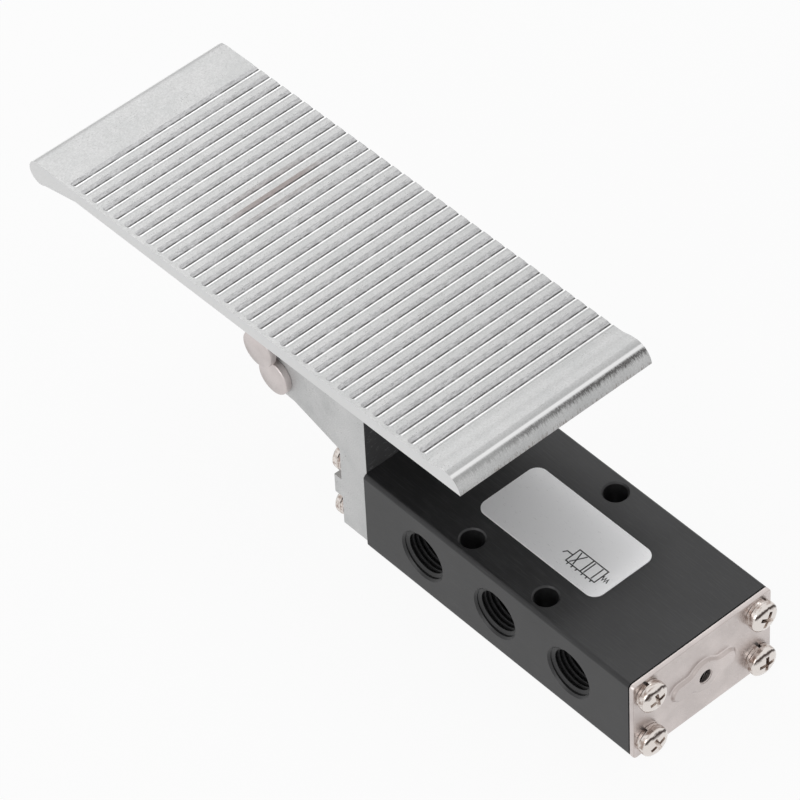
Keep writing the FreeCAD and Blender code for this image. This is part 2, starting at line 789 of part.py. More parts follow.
def make_lever():
    """Cheeks, hub and nose in a level frame, whose origin is the pivot."""
    body = new_body("lever_body")
    top = s.plate_top - s.plate_thickness / 2
    half_gap = cheek_outer - s.cheek_thickness
    side = new_sketch(body, "cheek_side", "XZ_Plane")
    boss = s.pin_radius * 2
    outline(side, [(s.hub_radius, -s.pin_radius), (s.cheek_heel_reach, top), (-s.cheek_toe_reach, top),
                   (s.stop_offset_x - boss, s.stop_offset_z), (-s.hub_radius, 0),
                   (-s.pin_radius, -s.pin_radius)])
    pad(body, side, cheek_outer * 2, middle=True)
    between = new_sketch(body, "cheek_gap", "XZ_Plane")
    rectangle(between, -s.plate_toe, -s.plate_top, s.plate_heel, s.plate_top)
    pocket(body, between, half_gap * 2, middle=True)

    hub = new_sketch(body, "hub", "XZ_Plane")
    circle(hub, 0, 0, s.hub_radius)
    pad(body, hub, cheek_outer * 2, middle=True)
    lean = s.nose_radius * 0.9
    lever = new_sketch(body, "lever_side", "XZ_Plane")
    outline(lever, [(s.nose_reach - lean, -s.nose_drop),
                    (s.nose_reach + lean, -s.nose_drop + s.nose_radius / 2),
                    (s.hub_radius - s.fixed_fit, 0), (0, s.pin_radius), (-s.hub_radius + s.fixed_fit, 0)])
    pad(body, lever, s.lever_width, middle=True)
    nose = new_sketch(body, "nose", "XZ_Plane")
    circle(nose, s.nose_reach, -s.nose_drop, s.nose_radius)
    pad(body, nose, s.lever_width, middle=True)

    pivot = new_sketch(body, "pivot_bore", "XZ_Plane")
    circle(pivot, 0, 0, s.pin_radius + s.running_fit)
    circle(pivot, s.stop_offset_x, s.stop_offset_z, s.pin_radius + s.fixed_fit)
    pocket(body, pivot, middle=True)
    return place(body, pivot_x, 0, s.pivot_z)


def make_pedal():
    casting = doc.addObject("Part::MultiFuse", "pedal_casting")
    casting.Shapes = [make_plate(), make_toe(), make_lever()]
    return node(casting, "pedal")


def check_and_export():
    doc.recompute()
    faults = [item.Name for item in doc.Objects if "Invalid" in item.State or "Error" in item.State]
    for label, feature in nodes.items():
        if feature.Shape.isNull() or not feature.Shape.isValid():
            faults.append(label)
    if faults:
        raise RuntimeError("these failed: " + ", ".join(faults))
    os.makedirs("parts", exist_ok=True)
    for label, feature in nodes.items():
        feature.Shape.exportStep("parts/%s.step" % label)


make_block()
make_label()
make_gasket()
make_cover()
make_fasteners("end_plate", cover_outside, 1, s.gasket_thickness + s.cover_thickness)
make_spool()
make_seals()
make_spring()
make_plunger()
make_guides()
make_bracket()
make_fasteners("bracket", flange_back, -1, s.flange_thickness)
make_pin("pivot_pin", pivot_x, s.pivot_z, arm_tip_outer)
make_pin("stop_pin", stop_x, stop_z, arm_tip_outer + s.pin_head_thickness + s.pin_head_gap)
make_pedal()
check_and_export()
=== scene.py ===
import json
import math

import bmesh
import bpy
from mathutils import Matrix, Vector


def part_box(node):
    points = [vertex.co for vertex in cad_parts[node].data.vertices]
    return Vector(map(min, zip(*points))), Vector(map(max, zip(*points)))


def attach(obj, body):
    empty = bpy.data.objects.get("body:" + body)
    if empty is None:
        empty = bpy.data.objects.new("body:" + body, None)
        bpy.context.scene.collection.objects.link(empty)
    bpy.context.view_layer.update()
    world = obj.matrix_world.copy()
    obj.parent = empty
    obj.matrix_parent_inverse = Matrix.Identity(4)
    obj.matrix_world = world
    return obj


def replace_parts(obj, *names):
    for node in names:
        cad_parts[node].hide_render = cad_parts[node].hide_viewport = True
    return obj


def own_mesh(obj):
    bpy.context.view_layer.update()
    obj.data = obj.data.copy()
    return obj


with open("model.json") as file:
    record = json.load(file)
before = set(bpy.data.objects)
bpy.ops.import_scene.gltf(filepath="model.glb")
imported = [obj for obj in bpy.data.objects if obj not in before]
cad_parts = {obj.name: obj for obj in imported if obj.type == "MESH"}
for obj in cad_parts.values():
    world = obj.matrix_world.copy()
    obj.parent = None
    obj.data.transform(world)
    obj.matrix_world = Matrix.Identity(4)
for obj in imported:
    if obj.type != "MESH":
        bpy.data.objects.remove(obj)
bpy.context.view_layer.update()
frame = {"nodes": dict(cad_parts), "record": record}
MM = 0.001
scene = bpy.context.scene

# Sizes in millimetres. Block, and the flange's back face
HALF_LENGTH, HALF_WIDTH, BLOCK_HEIGHT = 45.0, 22.0, 25.0
SPOOL_HEIGHT, PORT_PITCH, FLANGE_BACK = 12.5, 25.0, -54.5
# End cover, its corners, its domed edge and the vent in its middle
COVER_INSIDE, COVER_OUTSIDE, COVER_CORNER, COVER_EDGE = 45.4, 46.6, 1.1, 0.25
VENT_RADIUS, SCREW_HOLE_RADIUS = 1.85, 2.2
# The cover's emboss: a round middle and two arms with soft shoulders
EMBOSS_RADIUS, EMBOSS_ARM_REACH, EMBOSS_ARM_HALF = 4.6, 7.6, 2.45
EMBOSS_SHOULDER, EMBOSS_BLEND, EMBOSS_HEIGHT = 0.95, 1.2, 1.1
# Screws, their cross recess, and split washers
SCREW_SPACING, HEAD_HEIGHT = (35.0, 15.5), 2.6
RECESS_FLOOR, RECESS_HALF, RECESS_REACH = 0.9, 0.62, 2.75
WASHER_THICKNESS = 1.0
# Pins
PIN_RADIUS, PIN_HEAD_RADIUS, PIN_HEAD_THICKNESS, CLIP_WIDTH = 3.0, 5.0, 2.0, 0.8
# Pivot and pedal, the plate's sizes in its own tilted frame
PIVOT = (-78.7, 0.0, 32.1)
STOP = (-80.9, 0.0, 41.5)
PEDAL_TILT = math.radians(1.19)
PLATE_TOP, GROOVE_END, NEAR_END = 28.0, -27.7, -29.1
GROOVE_PITCH, GROOVE_COUNT, FIRST_GROOVE = 4.02, 32, -60.0
GROOVE_DEPTH, GROOVE_SLOPE, GROOVE_WALL = 0.35, 1.45, 0.35
# Label: centre along the block, half its length and width, corners, and how far it stands up
LABEL_CENTRE, LABEL_HALF_LENGTH, LABEL_HALF_WIDTH, LABEL_CORNER = 1.05, 20.2, 10.0, 3.0
LABEL_TOP, LINE_HEIGHT = BLOCK_HEIGHT + 0.2, 0.03
# Spots in the finishes: a brown smear on the plate, and where the heel's front begins
SMEAR_ALONG, SMEAR_ACROSS, HEEL_FRONT = (-107.5, -100.5), (-8.0, 17.0), -8.0
# Photograph's camera: focal length and centre in pixels, distance and angles
IMAGE_SIZE, SENSOR_WIDTH = 800, 36.0
FOCAL, CENTRE, DISTANCE = 5463.266, (435.958, 499.471), 1312.595
AZIMUTH, ELEVATION, ROLL = 50.177, 46.358, -3.093


# Meshes

def closed_mesh(name, verts, faces):
    """Mesh from points in millimetres, its faces turned outwards."""
    mesh = bpy.data.meshes.new(name)
    mesh.from_pydata([tuple(c * MM for c in v) for v in verts], [], faces)
    face_outwards(mesh)
    return mesh


def swept_faces(steps, width, first=0):
    """Faces along a row of sections of as many points each, with both ends closed."""
    faces = []
    for step in range(steps):
        for item in range(width):
            a, b = first + step * width + item, first + step * width + (item + 1) % width
            faces.append((a, b, b + width, a + width))
    last = first + steps * width
    return faces + [tuple(range(first, first + width)), tuple(range(last, last + width))]


def keep_piece(name, mesh, body):
    """Piece carried by a body."""
    piece = bpy.data.objects.new(name, mesh)
    scene.collection.objects.link(piece)
    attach(piece, body)
    return piece


def dressed_piece(name, mesh, body, slot_name, material=None):
    """Piece in the finish of its slot, or in another material."""
    mesh.name = name
    mesh.materials.clear()
    mesh.materials.append(material or finishes[slot_name])
    return keep_piece(name, mesh, body)


def face_outwards(mesh):
    """Joins points that lie on each other and turns the faces outwards."""
    work = bmesh.new()
    work.from_mesh(mesh)
    bmesh.ops.remove_doubles(work, verts=work.verts, dist=1e-7)
    bmesh.ops.recalc_face_normals(work, faces=work.faces)
    work.to_mesh(mesh)
    work.free()


def smooth_by_angle(mesh, degrees=35.0):
    """Smooth shading that keeps the edges sharper than the angle."""
    work = bmesh.new()
    work.from_mesh(mesh)
    limit = math.radians(degrees)
    for face in work.faces:
        face.smooth = True
    for edge in work.edges:
        edge.smooth = len(edge.link_faces) == 2 and edge.calc_face_angle(0.0) < limit
    work.to_mesh(mesh)
    work.free()


def turned_mesh(name, profile, steps=64):
    """Lathe mesh about X from points (along, radius) that start and end on the axis."""
    verts, faces, rings = [], [], []
    for along, radius in profile:
        if radius < 1e-6:
            rings.append([len(verts)])
            verts.append((along, 0.0, 0.0))
            continue
        ring = []
        for step in range(steps):
            angle = 2 * math.pi * step / steps
            ring.append(len(verts))
            verts.append((along, radius * math.cos(angle), radius * math.sin(angle)))
        rings.append(ring)
    for first, second in zip(rings, rings[1:]):
        for step in range(steps):
            following = (step + 1) % steps
            if len(first) == 1:
                faces.append((first[0], second[following], second[step]))
            elif len(second) == 1:
                faces.append((first[step], first[following], second[0]))
            else:
                faces.append((first[step], first[following], second[following], second[step]))
    return closed_mesh(name, verts, faces)


def prism_mesh(name, outline, low, high, shrink=1.0):
    """Prism along X from a (y, z) outline, its low end scaled by the shrink."""
    count = len(outline)
    verts = [(low, y * shrink, z * shrink) for y, z in outline]
    verts += [(high, y, z) for y, z in outline]
    faces = [tuple(range(count)), tuple(range(2 * count - 1, count - 1, -1))]
    faces += [(i, i + count, (i + 1) % count + count, (i + 1) % count) for i in range(count)]
    return closed_mesh(name, verts, faces)


def cut_mesh(mesh, cutters):
    """Mesh with the cutter meshes taken out of it."""
    body = bpy.data.objects.new("being_cut", mesh)
    scene.collection.objects.link(body)
    tools = []
    for cutter in cutters:
        tool = bpy.data.objects.new("cutter", cutter)
        scene.collection.objects.link(tool)
        tools.append(tool)
        change = body.modifiers.new("cut", "BOOLEAN")
        change.object = tool
        change.operation = "DIFFERENCE"
        change.solver = "EXACT"
    result = settled(body)
    for item in [body] + tools:
        bpy.data.objects.remove(item)
    return result


def settled(obj):
    """Plain mesh of an object with its modifiers done."""
    bpy.context.view_layer.update()
    graph = bpy.context.evaluated_depsgraph_get()
    return bpy.data.meshes.new_from_object(obj.evaluated_get(graph))


# Repeats, by geometry nodes

def tree_with(name, inputs):
    """Geometry node tree with the given inputs, its sockets, its entry and its exit."""
    tree = bpy.data.node_groups.new(name, "GeometryNodeTree")
    tree.interface.new_socket(name="Geometry", in_out="INPUT", socket_type="NodeSocketGeometry")
    sockets = {}
    for title, kind in inputs:
        sockets[title] = tree.interface.new_socket(name=title, in_out="INPUT", socket_type=kind)
    tree.interface.new_socket(name="Geometry", in_out="OUTPUT", socket_type="NodeSocketGeometry")
    return tree, sockets, tree.nodes.new("NodeGroupInput"), tree.nodes.new("NodeGroupOutput")


def finish_tree(tree, entry, exit_node, instances):
    """Makes the copies real and gives them their material."""
    realize = tree.nodes.new("GeometryNodeRealizeInstances")
    tree.links.new(instances, realize.inputs["Geometry"])
    dress = tree.nodes.new("GeometryNodeSetMaterial")
    tree.links.new(realize.outputs[0], dress.inputs["Geometry"])
    tree.links.new(entry.outputs["Finish"], dress.inputs["Material"])
    tree.links.new(dress.outputs[0], exit_node.inputs["Geometry"])


def corners_tree():
    """Puts a copy at each corner of an upright rectangle, each turned about its own axis."""
    most_turn = 0.7
    tree, sockets, entry, leave = tree_with("at_four_corners", [
        ("Spacing across", "NodeSocketFloat"), ("Spacing up", "NodeSocketFloat"),
        ("Centre", "NodeSocketVector"), ("Seed", "NodeSocketInt"),
        ("Finish", "NodeSocketMaterial")])
    grid = tree.nodes.new("GeometryNodeMeshGrid")
    grid.inputs["Vertices X"].default_value = 2
    grid.inputs["Vertices Y"].default_value = 2
    tree.links.new(entry.outputs["Spacing up"], grid.inputs["Size X"])
    tree.links.new(entry.outputs["Spacing across"], grid.inputs["Size Y"])
    upright = tree.nodes.new("GeometryNodeTransform")
    upright.inputs["Rotation"].default_value = (0.0, math.pi / 2, 0.0)
    tree.links.new(grid.outputs["Mesh"], upright.inputs["Geometry"])
    tree.links.new(entry.outputs["Centre"], upright.inputs["Translation"])
    turn = tree.nodes.new("FunctionNodeRandomValue")
    turn.data_type = "FLOAT_VECTOR"
    turn.inputs[0].default_value = (-most_turn, 0.0, 0.0)
    turn.inputs[1].default_value = (most_turn, 0.0, 0.0)
    tree.links.new(entry.outputs["Seed"], turn.inputs["Seed"])
    copies = tree.nodes.new("GeometryNodeInstanceOnPoints")
    tree.links.new(upright.outputs[0], copies.inputs["Points"])
    tree.links.new(entry.outputs["Geometry"], copies.inputs["Instance"])
    tree.links.new(turn.outputs[0], copies.inputs["Rotation"])
    finish_tree(tree, entry, leave, copies.outputs[0])
    return tree, sockets


def row_tree():
    """Puts copies in a row along X."""
    tree, sockets, entry, leave = tree_with("in_a_row", [
        ("Count", "NodeSocketInt"), ("Pitch", "NodeSocketVector"), ("Start", "NodeSocketVector"),
        ("Finish", "NodeSocketMaterial")])
    line = tree.nodes.new("GeometryNodeMeshLine")
    tree.links.new(entry.outputs["Count"], line.inputs["Count"])
    tree.links.new(entry.outputs["Start"], line.inputs["Start Location"])
    tree.links.new(entry.outputs["Pitch"], line.inputs["Offset"])
    copies = tree.nodes.new("GeometryNodeInstanceOnPoints")
    tree.links.new(line.outputs["Mesh"], copies.inputs["Points"])
    tree.links.new(entry.outputs["Geometry"], copies.inputs["Instance"])
    finish_tree(tree, entry, leave, copies.outputs[0])
    return tree, sockets


def repeated(name, mesh, tree_and_sockets, values, body):
    """Piece made by a tree from one copy of the mesh."""
    tree, sockets = tree_and_sockets
    holder = bpy.data.objects.new(name + "_one", mesh)
    scene.collection.objects.link(holder)
    change = holder.modifiers.new("repeat", "NODES")
    change.node_group = tree
    for title, value in values.items():
        change[sockets[title].identifier] = value
    result = settled(holder)
    bpy.data.objects.remove(holder)
    result.name = name
    smooth_by_angle(result)
    return keep_piece(name, result, body)


# Finishes

def linear(level):
    """Linear light of an 8-bit screen level."""
    level = level / 255.0
    return level / 12.92 if level <= 0.04045 else ((level + 0.055) / 1.055) ** 2.4


def tone(red, green, blue):
    return (linear(red), linear(green), linear(blue), 1.0)


def grey(level):
    return tone(level, level, level)


class Finish:
    """Material on Object coordinates, built up from a base shader.

    Sizes of noises and cells, and depths of bumps, are in millimetres.
    """

    def __init__(self, name, colour, metallic, roughness):
        self.material = bpy.data.materials.new(name)
        self.material.use_nodes = True
        self.tree = self.material.node_tree
        self.shader = self.tree.nodes["Principled BSDF"]
        self.shader.inputs["Base Color"].default_value = colour
        self.shader.inputs["Metallic"].default_value = metallic
        self.shader.inputs["Roughness"].default_value = roughness
        coordinates = self.tree.nodes.new("ShaderNodeTexCoord")
        self.place, self.normal = coordinates.outputs["Object"], coordinates.outputs["Normal"]
        self.bump = None

    def link(self, start, end):
        self.tree.links.new(start, end)

    def mapped(self, scale):
        node = self.tree.nodes.new("ShaderNodeMapping")
        node.inputs["Scale"].default_value = scale
        self.link(self.place, node.inputs["Vector"])
        return node.outputs["Vector"]

    def noise(self, size_mm, detail=4.0, roughness=0.55, stretch=(1, 1, 1)):
        node = self.tree.nodes.new("ShaderNodeTexNoise")
        node.inputs["Scale"].default_value = 1.0 / (size_mm * MM)
        node.inputs["Detail"].default_value = detail
        node.inputs["Roughness"].default_value = roughness
        self.link(self.mapped(stretch), node.inputs["Vector"])
        return node.outputs["Fac"]

    def cells(self, size_mm):
        node = self.tree.nodes.new("ShaderNodeTexVoronoi")
        node.inputs["Scale"].default_value = 1.0 / (size_mm * MM)
        self.link(self.place, node.inputs["Vector"])
        return node.outputs["Distance"]

    def ranged(self, value, low, high, to_low, to_high):
        node = self.tree.nodes.new("ShaderNodeMapRange")
        for title, number in (("From Min", low), ("From Max", high),
                              ("To Min", to_low), ("To Max", to_high)):
            node.inputs[title].default_value = number
        self.link(value, node.inputs["Value"])
        return node.outputs["Result"]

    def spread(self, noise, to_low=0.0, to_high=1.0):
        """The part of a noise that holds most of its values, over the given range."""
        return self.ranged(noise, 0.3, 0.7, to_low, to_high)

    def share(self, value, low, high, most=1.0):
        """Nothing at low, rising to the most at high."""
        return self.ranged(value, low, high, 0.0, most)

    def part(self, vector, axis):
        node = self.tree.nodes.new("ShaderNodeSeparateXYZ")
        self.link(vector, node.inputs["Vector"])
        return node.outputs[axis]

    def worked(self, operation, first, second):
        node = self.tree.nodes.new("ShaderNodeMath")
        node.operation = operation
        for socket, value in zip(node.inputs, (first, second)):
            if hasattr(value, "links"):
                self.link(value, socket)
            else:
                socket.default_value = value
        return node.outputs[0]

    def times(self, value, *others):
        for other in others:
            value = self.worked("MULTIPLY", value, other)
        return value

    def band(self, value, low, high, soft):
        """One between low and high, fading over the soft width."""
        rise = self.share(value, low - soft, low + soft)
        fall = self.ranged(value, high - soft, high + soft, 1.0, 0.0)
        return self.times(rise, fall)

    def mixed(self, factor, first, second):
        node = self.tree.nodes.new("ShaderNodeMix")
        node.data_type = "RGBA"
        self.link(factor, node.inputs["Factor"])
        for socket, value in ((node.inputs[6], first), (node.inputs[7], second)):
            if hasattr(value, "links"):
                self.link(value, socket)
            else:
                socket.default_value = value
        return node.outputs[2]

    def paint(self, colour_output):
        self.link(colour_output, self.shader.inputs["Base Color"])
        return self

    def gloss(self, noise, smooth, rough):
        self.link(self.spread(noise, smooth, rough), self.shader.inputs["Roughness"])
        return self

    def relief(self, height, depth_mm, strength=1.0):
        node = self.tree.nodes.new("ShaderNodeBump")
        node.inputs["Strength"].default_value = strength
        node.inputs["Distance"].default_value = depth_mm * MM
        self.link(height, node.inputs["Height"])
        if self.bump:
            self.link(self.bump, node.inputs["Normal"])
        self.bump = node.outputs["Normal"]
        self.link(self.bump, self.shader.inputs["Normal"])
        return self


def anodised_finish():
    """Black anodised block, with lengthwise machining streaks."""
    made = Finish("black anodised", tone(46, 46, 47), 0.25, 0.4)
    streaks = made.noise(0.22, 3.0, 0.6, (0.04, 1.0, 1.0))
    drift = made.mixed(made.spread(made.noise(14.0, 2.0)), tone(36, 36, 37), tone(44, 44, 45))
    made.paint(made.mixed(made.share(streaks, 0.5, 0.75, 0.6), drift, tone(66, 66, 67)))
    made.gloss(streaks, 0.34, 0.48)
    return made.relief(streaks, 0.012, 0.5).material


def cast_skin(made, level, spread):
    """Mottled die-cast aluminium: slow clouds under a fine grain."""
    clouds = made.mixed(made.spread(made.noise(7.0, 4.0)),
                        tone(level - spread, level - spread + 1, level - spread + 1),
                        grey(level + spread))
    grain = made.noise(0.3, 3.0, 0.7, (1, 0.6, 1))
    return made.mixed(made.share(grain, 0.35, 0.75, 0.6), clouds,
                      tone(level - 40, level - 40, level - 41))


def speckled(made, colour, dark, size_mm, share):
    """Small dark specks gathered in patches."""
    specks = made.ranged(made.cells(size_mm), 0.12, 0.2, 1.0, 0.0)
    patches = made.share(made.noise(5.0, 3.0), 0.5, 0.62, share)
    return made.mixed(made.times(specks, patches), colour, dark)


def cast_relief(made, depth_mm):
    """Bump of a cast skin, with pits."""
    made.relief(made.noise(0.45, 5.0, 0.6), depth_mm, 0.35)
    return made.relief(made.share(made.cells(0.8), 0.0, 0.18), depth_mm, 0.4)


def groove_pitches(made, along):
    """Way along the plate from the first groove, in pitches."""
    level, rise = math.cos(PEDAL_TILT), math.sin(PEDAL_TILT)
    plate = made.worked("ADD", made.times(along, level),
                        made.times(made.part(made.place, "Z"), rise))
    start = (PIVOT[0] * level + PIVOT[2] * rise + FIRST_GROOVE) * MM
    return made.worked("DIVIDE", made.worked("SUBTRACT", plate, start), GROOVE_PITCH * MM)


def shaded_slope_colour(made, along, across, phase):
    """Slopes of the grooves, darker than the lands as painted shade, mottled and more specked, with
    a brown smear and a painted shade line in each valley.
    """
    rough = made.noise(0.45, 4.0, 0.8, (1, 0.3, 1))
    skin = made.mixed(made.share(rough, 0.38, 0.62), tone(216, 216, 217), tone(176, 176, 177))
    colour = speckled(made, skin, tone(70, 68, 67), 0.5, 1.0)
    smear = made.times(made.band(along, SMEAR_ALONG[0] * MM, SMEAR_ALONG[1] * MM, 2 * MM),
                       made.band(across, SMEAR_ACROSS[0] * MM, SMEAR_ACROSS[1] * MM, 5 * MM), 0.7)
    colour = made.mixed(smear, colour, tone(156, 142, 138))
    # Painted shade: a dark line along the bottom of each valley
    valley = made.times(made.share(phase, 0.88, 0.94),
                        made.ranged(made.noise(4.0, 3.0, 0.7), 0.35, 0.55, 0.4, 1.0))
    return made.mixed(valley, colour, tone(72, 71, 70))


def front_sheen_colour(made, lean, across):
    """Round front at the heel: a painted highlight on the crest over a ragged band of painted dark
    reflection, which fades towards the near edge, and a brown foot."""
    edge = made.noise(0.38, 5.0, 0.85, (0.2, 1, 0.2))
    ragged = made.worked("ADD", lean, made.spread(edge, -0.15, 0.15))
    wander = made.spread(made.noise(9.0, 2.0), -10 * MM, 10 * MM)
    fading = made.ranged(made.worked("ADD", across, wander), -30 * MM, 16 * MM, 0.35, 1.0)
    # Painted dark reflection: a ragged band below the crest, fading towards the near edge
    colour = made.mixed(made.times(made.band(ragged, 0.48, 0.68, 0.09), fading),
                        cast_skin(made, 212, 8), tone(80, 78, 77))
    # Painted highlight along the crest
    colour = made.mixed(made.band(lean, 0.3, 0.47, 0.04), colour, grey(255))
    return made.mixed(made.share(ragged, 0.98, 1.04, 0.75), colour, tone(132, 120, 114))


def pedal_finish():
    """Cast pedal: slopes along the grooves darker as painted shade, painted highlights on the lips
    and on each toe-facing wall, the near side lighter as painted light, and a front of its own at
    the heel."""
    made = Finish("cast pedal", tone(207, 208, 208), 0.35, 0.42)
    lean, rise = made.part(made.normal, "X"), made.part(made.normal, "Z")
    along, across = made.part(made.place, "X"), made.part(made.place, "Y")
    pitches = groove_pitches(made, along)
    phase = made.worked("FRACT", pitches, 0.0)
    last_groove = GROOVE_COUNT - 0.7

    colour = speckled(made, cast_skin(made, 201, 5), tone(120, 118, 116), 0.55, 0.8)
    # Painted shade on the slopes that face the heel, picked by their normals
    on_slope = made.times(made.band(lean, 0.13, 0.36, 0.04), made.share(rise, 0.3, 0.5),
                          made.band(pitches, -0.5, last_groove, 0.01))
    colour = made.mixed(on_slope, colour, shaded_slope_colour(made, along, across, phase))

    on_top = made.times(made.share(rise, 0.6, 0.7),
                        made.share(across, (NEAR_END + 0.2) * MM, (NEAR_END + 0.6) * MM),
                        made.band(pitches, -0.1, last_groove, 0.01))
    # Painted shade: a thin grey line on the land just past the lips
    shade_past_lip = made.times(made.band(phase, 0.23, 0.29, 0.01), on_top, 0.5)
    colour = made.mixed(shade_past_lip, colour, grey(150))
    specks = made.times(made.ranged(made.cells(0.45), 0.14, 0.24, 1.0, 0.0),
                        made.share(made.noise(4.5, 3.0, 0.7), 0.5, 0.6),
                        made.band(phase, 0.45, 0.68, 0.03), on_top)
    colour = made.mixed(specks, colour, tone(110, 108, 107))
    # Painted highlight along the lips of the grooves, broken up by a noise
    highlight_breaks = made.ranged(made.noise(3.0, 4.0, 0.7), 0.3, 0.5, 0.55, 1.0)
    lip_highlight = made.times(made.band(phase, 0.02, 0.165, 0.015), on_top, highlight_breaks)
    colour = made.mixed(lip_highlight, colour, grey(255))

    # Painted highlight on each wall that faces the toe, picked by its normal
    wall_highlight = made.share(lean, -0.45, -0.6)
    colour = made.mixed(wall_highlight, colour, grey(250))
    on_front = made.times(made.share(along, (HEEL_FRONT - 0.5) * MM, (HEEL_FRONT + 0.5) * MM),
                          made.share(lean, 0.24, 0.32))
    colour = made.mixed(on_front, colour, front_sheen_colour(made, lean, across))
    # Painted light: the face turned towards the near side made lighter
    near_side_light = made.share(made.part(made.normal, "Y"), -0.9, -0.96, 0.75)
    made.paint(made.mixed(near_side_light, colour, grey(240)))
    made.gloss(made.noise(0.5), 0.36, 0.5)
    return cast_relief(made, 0.025).material


def bracket_finish():
    """Cast bracket: its arms a little darker than the flange as painted shade, and its face over
    the block dark with painted shade and reflection of the black block, under real light scratches.
    """
    made = Finish("cast bracket", tone(196, 197, 197), 0.35, 0.46)
    along = made.part(made.place, "X")
    # Painted shade: the arms a little darker than the flange
    on_flange = made.share(along, (FLANGE_BACK - 4.0) * MM, FLANGE_BACK * MM)
    colour = made.mixed(on_flange, cast_skin(made, 212, 9), cast_skin(made, 218, 8))
    colour = speckled(made, colour, tone(128, 126, 124), 0.7, 0.9)
    # Painted shade and reflection of the black block on the face over it, with real scratches
    facing = made.share(made.part(made.normal, "X"), 0.9, 0.95)
    over_block = made.times(facing, made.share(along, (-HALF_LENGTH - 0.4) * MM,
                                               (-HALF_LENGTH - 0.2) * MM))
    scratches = made.share(made.noise(0.9, 4.0, 0.8, (1, 0.35, 1)), 0.58, 0.66, 0.7)
    dark = made.mixed(scratches, tone(84, 84, 85), grey(158))
    made.paint(made.mixed(over_block, colour, dark))
    made.gloss(made.noise(0.5), 0.4, 0.56)
    return cast_relief(made, 0.035).material


def nickel_finish(name, colour, roughness, grain_mm, depth_mm, shoulder=0.0):
    """Plated or turned metal, its steep stamped shoulders darker as painted shade by the given
    share.
    """
    made = Finish(name, colour, 0.9, roughness)
    grain = made.noise(grain_mm, 4.0, 0.6)
    darker = tuple(c * 0.86 for c in colour[:3]) + (1.0,)
    paint = made.mixed(made.share(made.noise(9.0, 2.0), 0.35, 0.65), darker, colour)
    if shoulder:
        # Painted shade on the steep shoulders, picked by their normals
        steep = made.band(made.part(made.normal, "X"), 0.5, 0.74, 0.06)
        paint = made.mixed(made.times(steep, shoulder), paint, tone(150, 136, 130))
    made.paint(paint)
    made.gloss(grain, roughness * 0.75, roughness * 1.3)
    return made.relief(grain, depth_mm, 0.4).material


def screw_finish():
    """Bright nickel heads, with a painted dark reflection along the upper shoulder and painted
    brownish reflections towards the rim.
    """
    bright = tone(226, 219, 214)
    made = Finish("bright nickel", bright, 0.9, 0.14)
    lean = made.worked("ABSOLUTE", made.part(made.normal, "X"), 0.0)
    wave = made.spread(made.noise(1.6, 3.0), -0.1, 0.1)
    rise = made.worked("ADD", made.part(made.normal, "Z"), wave)
    # Painted dark reflection along the upper shoulder of each head
    dark = made.times(made.band(rise, 0.34, 0.6, 0.06), made.band(lean, 0.55, 0.95, 0.05))
    # Painted brownish reflections towards the rim
    sides = made.share(lean, 0.55, 0.25, 0.75)
    streaks = made.share(made.noise(1.1, 3.0, 0.6, (1.0, 0.4, 1.0)), 0.42, 0.6)
    colour = made.mixed(made.times(sides, streaks), bright, tone(128, 102, 88))
    made.paint(made.mixed(dark, colour, tone(74, 64, 60)))
    return made.relief(made.noise(0.8), 0.01, 0.4).material


def rubber_finish():
    """Black rubber of the gasket and the seals."""
    made = Finish("nitrile rubber", grey(30), 0.0, 0.6)
    grain = made.noise(0.3)
    made.paint(made.mixed(grain, grey(22), grey(36)))
    return made.relief(grain, 0.01, 0.4).material


def foil_finish():
    """Silver foil, a little darker towards the end under the pedal as painted shade, with a very
    fine lengthwise grain.
    """
    made = Finish("label foil", tone(205, 205, 206), 0.3, 0.36)
    # Painted shade: darker towards the end under the pedal
    slope = made.share(made.part(made.place, "X"), -20 * MM, 20 * MM)
    made.paint(made.mixed(slope, tone(240, 240, 241), tone(250, 250, 251)))
    grain = made.noise(0.12, 3.0, 0.5, (0.06, 1.0, 1.0))
    made.gloss(grain, 0.27, 0.38)
    return made.relief(grain, 0.004, 0.3).material


def recess_shade_finish():
    """Painted shade inside the screws' recesses: dull brown reflection with lighter glints."""
    made = Finish("screw recess shade", tone(96, 78, 72), 0.6, 0.5)
    return made.paint(made.mixed(made.noise(0.4), tone(78, 62, 56), tone(172, 158, 150))).material


def ink_finish():
    """Black ink of the label's symbol."""
    made = Finish("printed line", tone(28, 28, 29), 0.0, 0.5)
    return made.paint(made.mixed(made.noise(0.6), tone(24, 24, 25), tone(36, 36, 37))).material


finishes = {
    "black_anodised": anodised_finish(),
    "label_foil": foil_finish(),
    "gasket_rubber": rubber_finish(),
    "nickel_plate": nickel_finish("nickel plate", tone(214, 205, 202), 0.34, 0.6, 0.01, 0.35),
    "nickel_screws": screw_finish(),
    "cast_bracket": bracket_finish(),
    "bronze_bush": nickel_finish("turned bronze", tone(176, 140, 92), 0.3, 0.3, 0.008),
    "nickel_pins": nickel_finish("satin nickel", tone(214, 206, 204), 0.4, 0.5, 0.01),
    "spring_steel": nickel_finish("spring steel", tone(150, 149, 148), 0.3, 0.4, 0.006),
    "cast_pedal": pedal_finish(),
    "spool_aluminium": nickel_finish("turned aluminium", tone(200, 200, 202), 0.25, 0.3, 0.006),
    "plunger_steel": nickel_finish("ground steel", tone(180, 180, 182), 0.22, 0.3, 0.005),
}
finishes["seal_rubber"] = finishes["gasket_rubber"]
recess = recess_shade_finish()
ink = ink_finish()

# Nodes that no piece replaces keep their shape and get the finish of their slot
for part in frame["record"]["subparts"]:
    shown = frame["nodes"][part["node"]]
    shown.data.materials.clear()
    shown.data.materials.append(finishes[part["material_slot"]])


# Screws and washers

